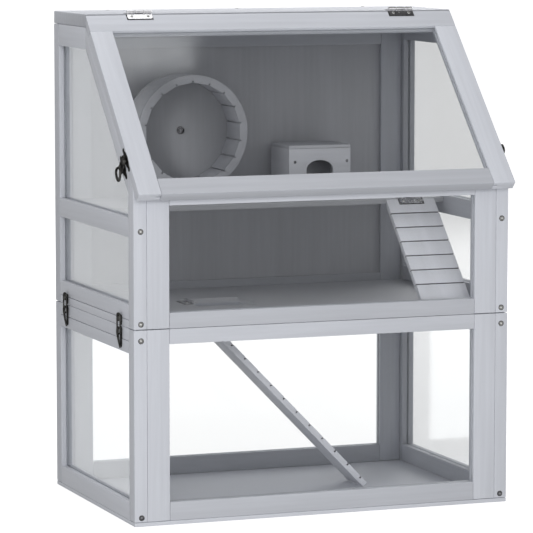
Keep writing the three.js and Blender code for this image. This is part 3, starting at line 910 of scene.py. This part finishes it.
def axle(centre, face_y):
    """The wheel's bolt: a pan head before the disc, and a spacer between the disc and the back."""
    low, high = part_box("wheel_axle")
    disc_low, disc_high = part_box("wheel_disc")
    shank = 3.2 * MM
    bm = bmesh.new()
    profile = [(0, -high.y), (8 * MM, -high.y), (8 * MM, -disc_high.y - PLAY),
               (shank, -disc_high.y - PLAY), (shank, -disc_low.y + PLAY),
               (0, -disc_low.y + PLAY)]
    lathe(bm, profile, 32, face_y)
    make_piece("wheel_axle_bolt", bm, screw_steel, "upper_unit", ("wheel_axle",))
    seat = Vector((centre.x, disc_low.y - PLAY, centre.z))
    head = bolt_head(6.3 * MM, 3.2 * MM)
    stamped("wheel_axle_head", head, [(seat, (0, -1, 0), 12)], "upper_unit", screw_steel)


# ---- hide house ----
DOOR = {"x": 105 * MM, "half": 22.5 * MM, "spring": 495 * MM, "top": 509.3 * MM}


def house():
    low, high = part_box("house_front")
    wall_low, wall_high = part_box("house_walls")
    left, right, floor = DOOR["x"] - DOOR["half"], DOOR["x"] + DOOR["half"], low.z
    rise = DOOR["top"] - DOOR["spring"]
    outline = [(low.x, floor), (left, floor)]
    for i in range(17):
        angle = math.pi * (1 - i / 16)
        across = DOOR["x"] + DOOR["half"] * math.cos(angle)
        outline.append((across, DOOR["spring"] + rise * math.sin(angle)))
    outline += [(right, floor), (high.x, floor), (high.x, high.z), (low.x, high.z)]
    bm = bmesh.new()
    prism(bm, outline, low.y, high.y, face_place)
    make_piece("house_front_panel", bm, fitting_paint, "house", ("house_front",),
               (1, 0, 0), 0.5 * MM)
    thick = 6 * MM
    parts = {
        "left": ((wall_low.x, wall_low.y, wall_low.z), (wall_low.x + thick, wall_high.y, wall_high.z)),
        "right": ((wall_high.x - thick, wall_low.y, wall_low.z), tuple(wall_high)),
        "back": ((wall_low.x + thick, wall_high.y - thick, wall_low.z),
                 (wall_high.x - thick, wall_high.y, wall_high.z)),
    }
    for part, (a, b) in parts.items():
        board(f"house_{part}_panel", "house", a, b, (0, 1, 0) if part != "back" else (1, 0, 0),
              fitting_paint, ("house_walls",) if part == "left" else (), 0.5 * MM)
    # The roof panel's tone is painted shade: its top is painted darker than the front.
    board("house_roof_panel", "house", *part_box("house_roof"), (1, 0, 0), fitting_paint,
          ("house_roof",), 0.8 * MM, tone=-0.15)
    small = cross_head(2.4 * MM, 0.8 * MM)
    points = [Vector((x, low.y - 0.05 * MM, z))
              for z in (507 * MM, 466 * MM) for x in (63 * MM, 151 * MM)]
    stamped("house_screws", small, twisted(points, (0, -1, 0), "house"), "house", screw_steel)


# ---- toggle latches ----
PIVOT_OUT = 4.2 * MM
LEVER_HALF = 5.5 * MM
WIRE = 1.25 * MM
PLATE = (0.05 * MM, 0.9 * MM)  # a latch plate's back and face, out from the wall
KNOB_Z = 15.6 * MM
KNOB_RADIUS = 5.2 * MM
LOOP_TOP = 22 * MM


def latch_matrix(origin, sign, up):
    """Local X points away from the wall, local Z towards the keeper."""
    out = Vector((sign, 0, 0))
    return axes_matrix(origin, out, up.cross(out), up)


def lever_section(half, outer, crown):
    """A pressed sheet seen end on, as (out, across) points: two rolled edges and a crowned face."""
    wall = 0.7 * MM
    inner = max(1.2 * MM, outer - 2.0 * MM)
    face = []
    for i in range(1, 8):
        part = i / 8
        face.append((outer - crown + crown * math.sin(math.pi * part), half * (2 * part - 1)))
    hollow = [(o - wall, w * (1 - wall / half)) for o, w in reversed(face)]
    return ([(inner, -half), (outer - crown, -half)] + face + [(outer - crown, half), (inner, half)]
            + [(inner, half - wall)] + hollow + [(inner, -half + wall)])


def lever(name, matrix, tip):
    """A spade-shaped lever: broad just below its pivot, tapering to a narrow tip."""
    rows = [(2.6 * MM, 3.2 * MM, 5.4 * MM, 0.4 * MM), (1.5 * MM, 4.5 * MM, 6.4 * MM, 0.6 * MM),
            (0, 5.0 * MM, 7.0 * MM, 0.9 * MM), (-3.0 * MM, 5.4 * MM, 7.5 * MM, 1.1 * MM)]
    steps = 11
    broad = 6.0 * MM
    for i in range(steps + 1):
        part = i / steps
        z = -broad - (tip - broad) * part
        rows.append((z, (5.5 - 4.1 * part ** 1.2) * MM, (7.6 - 4.5 * part ** 1.3) * MM,
                     (1.2 - 0.7 * part) * MM))
    bm = bmesh.new()
    rings = []
    for z, half, outer, crown in rows:
        section = lever_section(half, outer, crown)
        rings.append([bm.verts.new(matrix @ Vector((o, w, z))) for o, w in section])
    for a, b in zip(rings, rings[1:]):
        for i in range(len(a)):
            j = (i + 1) % len(a)
            bm.faces.new((a[i], a[j], b[j], b[i]))
    bm.faces.new(rings[0])
    bm.faces.new(rings[-1])
    add_pin(bm, matrix)
    make_piece(f"{name}_lever_body", bm, blackened, f"{name}_lever", (f"{name}_lever",))


def add_pin(bm, matrix, radius=1.2 * MM, spare=0.25 * MM):
    """A pin through the lever's pivot, a little longer than the lever is wide."""
    pin = matrix @ Matrix.Translation((PIVOT_OUT, -LEVER_HALF - spare, 0))
    pin = pin @ Matrix.Rotation(-math.pi / 2, 4, "X")
    length = 2 * (LEVER_HALF + spare)
    lathe(bm, [(0, 0), (radius, 0), (radius, length), (0, length)], 16, pin)


def ring_lever(name, matrix):
    """A short lever that ends in an open finger ring."""
    tube = 1.9 * MM
    centre = -11.8 * MM
    points = []
    for i in range(32):
        angle = 2 * math.pi * i / 32
        reach = 10.2 * MM * math.cos(angle)
        spread = 9.0 * MM * math.sin(angle) * (1 - 0.42 * math.cos(angle))
        points.append(matrix @ Vector((5.65 * MM, spread, centre + reach)))
    bm = bmesh.new()
    closed_wire(bm, points, matrix.to_3x3() @ Vector((1, 0, 0)), tube, 12)
    neck = [(3.0, -3.2), (3.2, 2.6), (5.2, 2.6), (7.0, -0.6), (7.2, -3.6), (4.6, -3.6)]
    neck = [(o * MM, z * MM) for o, z in neck]
    prism(bm, neck, -3.4 * MM, 3.4 * MM, lambda u, v, t: matrix @ Vector((u, t, v)))
    add_pin(bm, matrix, 2.4 * MM, 0)
    make_piece(f"{name}_lever_body", bm, blackened, f"{name}_lever", (f"{name}_lever",))


def wire_loop(name, matrix, loop_pivot):
    """A bent wire link: straight legs beside the lever and a rounded end round the keeper's knob."""
    leg = LEVER_HALF + WIRE + 0.4 * MM
    corner = 5.0 * MM
    small = 1.0 * MM
    flat = [*arc((leg - corner, LOOP_TOP - corner), corner, 0, 90, 6),
            *arc((-leg + corner, LOOP_TOP - corner), corner, 90, 180, 6),
            *arc((-leg + small, -loop_pivot + small), small, 180, 270, 3),
            *arc((leg - small, -loop_pivot + small), small, 270, 360, 3)]
    points = [matrix @ Vector((PIVOT_OUT, w, z)) for w, z in flat]
    normal = matrix.to_3x3() @ Vector((1, 0, 0))
    bm = bmesh.new()
    closed_wire(bm, points, normal, WIRE)
    make_piece(f"{name}_wire", bm, blackened, f"{name}_loop", (f"{name}_loop",))


def plate(name, outline, matrix, body, keeper=()):
    """A thin plate against the wall, from (across, along) points; the keeper's plate bears its knob."""
    bm = bmesh.new()
    prism(bm, outline, *PLATE, lambda u, v, t: matrix @ Vector((t, u, v)))
    bevel_sharp(bm, 0.22 * MM, 1)
    if keeper:
        knob(bm, matrix)
    make_piece(name, bm, blackened, body, keeper)


def strip_outline(half, low, high):
    return arc((0, high - half), half, 0, 180, 12) + arc((0, low + half), half, 180, 360, 12)


def lobed_outline(half_length, half_width, centre):
    """A long leaf with a round lobe at each end and a swell at the middle."""
    lobe = 3.2 * MM
    edge = []
    steps = 48
    for i in range(steps + 1):
        part = 2 * i / steps - 1
        across = half_length * part
        height = half_width * (0.34 + 0.66 * math.cos(math.pi * part / 2) ** 2.2)
        height += 0.5 * MM * math.cos(5 * math.pi * part)
        inside = lobe ** 2 - (abs(across) - (half_length - lobe)) ** 2
        round_end = math.sqrt(max(0.0, inside))
        if abs(across) > half_length - lobe:
            height = round_end
        edge.append((across, max(height, round_end, 0.05 * MM)))
    return [(w, centre + h) for w, h in edge] + [(w, centre - h) for w, h in reversed(edge)]


def knob(bm, matrix):
    """The keeper's round, domed knob, which stands inside the wire loop."""
    seat = Matrix.Translation((PLATE[1] - 0.1 * MM, 0, KNOB_Z))
    at = matrix @ seat @ Matrix.Rotation(math.pi / 2, 4, "Y")
    profile = [(0, 0), (0.8, 0), (0.78, 1.2), (0.86, 2.2), (0.98, 3.0), (1.0, 3.8), (0.95, 4.6),
               (0.8, 5.4), (0.55, 5.9), (0.25, 6.15), (0, 6.2)]
    lathe(bm, [(r * KNOB_RADIUS, h * MM) for r, h in profile], 28, at)


def plate_screws(name, matrix, body, places):
    head = cross_head(1.5 * MM, 0.5 * MM)
    normal = matrix.to_3x3() @ Vector((1, 0, 0))
    points = [matrix @ Vector((PLATE[1] - 0.05 * MM, w, z)) for w, z in places]
    stamped(name, head, twisted(points, normal, name), body, blackened)


def seam_latch(name, matrix):
    lever(name, matrix, 30 * MM)
    wire_loop(name, matrix, 8 * MM)
    plate(f"{name}_lever_plate", strip_outline(4.3 * MM, -28.5 * MM, 2.9 * MM), matrix, "lower_unit")
    plate(f"{name}_keeper_plate", strip_outline(4.6 * MM, 4.4 * MM, 20 * MM), matrix, "upper_unit",
          (f"{name}_keeper",))


def lid_latch(name, matrix):
    half, lever_at, keeper_at = 21.5 * MM, 0.6 * MM, 18 * MM
    ring_lever(name, matrix)
    wire_loop(name, matrix, 5 * MM)
    plate(f"{name}_lever_plate", lobed_outline(half, 8.4 * MM, lever_at), matrix, "upper_unit")
    plate(f"{name}_keeper_plate", lobed_outline(half, 6.6 * MM, keeper_at), matrix, "lid",
          (f"{name}_keeper",))
    ends = (-18.3 * MM, 18.3 * MM)
    plate_screws(f"{name}_lever_plate_screws", matrix, "upper_unit", [(w, lever_at) for w in ends])
    plate_screws(f"{name}_keeper_plate_screws", matrix, "lid", [(w, keeper_at) for w in ends])


def latches():
    up = Vector((0, 0, 1))
    outward = LID.to_3x3() @ up
    for side, sign in (("left", -1), ("right", 1)):
        for end in ("back", "front"):
            name = f"seam_latch_{side}_{end}"
            low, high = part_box(f"{name}_keeper")
            origin = Vector((sign * HALF_WIDTH, (low.y + high.y) / 2, SEAM_PIVOT_Z))
            seam_latch(name, latch_matrix(origin, sign, up))
        origin = LID @ Vector((sign * HALF_WIDTH, -LID_LATCH_SLOPE, -LID_LATCH_DEPTH))
        lid_latch(f"lid_latch_{side}", latch_matrix(origin, sign, outward))


# ---- put it together ----


def finish_panes():
    for node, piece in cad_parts.items():
        if node.endswith("_pane"):
            piece.data.materials.clear()
            piece.data.materials.append(acrylic)


def build():
    for side in ("left", "right"):
        lower_side(side)
        upper_side(side)
    for frame_side, fill in (("lower_front", "lower_front_pane"), ("lower_back", "lower_back_pane"),
                             ("upper_front", "upper_front_pane"), ("upper_back", "back_board")):
        unit = frame_side.split("_")[0] + "_unit"
        cross_frame(f"{frame_side}_frame", fill, unit)
    boards()
    lid()
    frame_screws()
    axes = hinge_matrices()
    for side in ("left", "right"):
        hinge(f"lid_hinge_{side}", "lid", axes[f"lid_hinge_{side}"], SLOPE)
    for name, sizes in RAMPS.items():
        hinge(f"{name}_hinge", name, axes[f"{name}_hinge"], sizes["slope"])
    for name, sizes in RAMPS.items():
        ramp(name, axes[f"{name}_hinge"], **sizes)
    wheel()
    house()
    latches()
    finish_panes()


# ---- studio ----


def add_area(name, location, target, size, power, receivers=None):
    light = bpy.data.lights.new(name, "AREA")
    light.shape = "RECTANGLE"
    light.size, light.size_y = size
    light.energy = power
    lamp = bpy.data.objects.new(name, light)
    lamp.location = location
    lamp.rotation_euler = (Vector(target) - Vector(location)).to_track_quat("-Z", "Y").to_euler()
    lamp.visible_camera = False
    bpy.context.scene.collection.objects.link(lamp)
    if receivers:
        group = bpy.data.collections.new(name + "_lights")
        for piece in receivers:
            group.objects.link(piece)
        lamp.light_linking.receiver_collection = group


def named(*starts):
    """The object's pieces whose names begin with one of these."""
    pieces = [o for o in bpy.context.scene.objects if o.type == "MESH" and not o.hide_render]
    return [o for o in pieces if o.name.startswith(starts)]


def white_room(strength, fill, zenith):
    """A white room with a darker ceiling, which lights matt surfaces less than it shows or mirrors."""
    world = bpy.data.worlds.new("studio")
    bpy.context.scene.world = world
    n = Nodes(world)
    direction = n.new("TexCoord").outputs["Generated"]
    height = n.new("SeparateXYZ", {0: direction}).outputs["Z"]
    wall_top, ceiling = 0.45, 0.8
    room = n.spread(height, wall_top, ceiling, strength, zenith)
    path = n.new("LightPath").outputs
    lit = n.new("Mix", {0: path["Is Diffuse Ray"], 2: room, 3: fill}).outputs[0]
    seen = n.new("Mix", {0: path["Is Camera Ray"], 2: lit, 3: 1.0}).outputs[0]
    background = n.new("Background", {"Color": (1.0, 1.0, 1.0, 1.0), "Strength": seen})
    n.finish(background.outputs[0], "OutputWorld")


def studio():
    white_room(1.2, 0.46, 0.10)
    middle = (0, 0, 0.4)
    outside = ("lower_", "upper_left", "upper_front", "lid_", "roof", "base", "seam_", "shelf_ramp",
               "floor_ramp")
    behind = ("lower_back", "lower_right", "upper_right", "upper_back")
    front_lit = [o for o in named(*outside) if not o.name.startswith(behind)]
    front_lit += named("lower_right_frame_front_post", "upper_right_frame_front_post")
    shell = dict.fromkeys(front_lit + named(*behind))
    front_lit = [o for o in front_lit if not o.name.startswith("roof")]
    add_area("key", (-1.2, -3.9, 0.9), middle, (2.4, 2.4), 105, front_lit)
    add_area("fill", (0.4, -3.8, 1.2), middle, (2.0, 2.0), 34,
             named("house", "shelf_ramp", "wheel_slat"))
    add_area("side", (-2.7, -2.6, 0.9), (0, 0.1, 0.5), (0.9, 0.9), 36,
             named("house", "floor_ramp", "wheel"))
    add_area("ceiling", (-0.2, 0.5, 1.95), (-0.2, 0.5, 0), (1.0, 1.2), 11, shell)
    add_area("rim", (2.6, 2.6, 1.6), middle, (2.0, 2.0), 60)
    reach = 60.0
    bm = bmesh.new()
    block(bm, (-reach, -reach, -0.02), (reach, reach, 0))
    mesh = bpy.data.meshes.new("studio_floor")
    bm.to_mesh(mesh)
    bm.free()
    mesh.materials.append(studio_floor("studio_floor"))
    ground = bpy.data.objects.new("studio_floor", mesh)
    ground.visible_diffuse = False
    bpy.context.scene.collection.objects.link(ground)


def camera():
    lens = bpy.data.cameras.new("camera")
    lens.lens = 227.0
    lens.sensor_width = 36.0
    lens.clip_end = 200.0
    view = bpy.data.objects.new("camera", lens)
    view.location = (-1.8385, -4.8102, 0.9373)
    view.rotation_euler = (math.radians(90 - 6.445), 0, math.radians(-20.661))
    bpy.context.scene.collection.objects.link(view)
    bpy.context.scene.camera = view


bpy.context.scene.view_settings.view_transform = "Standard"
build()
studio()
camera()
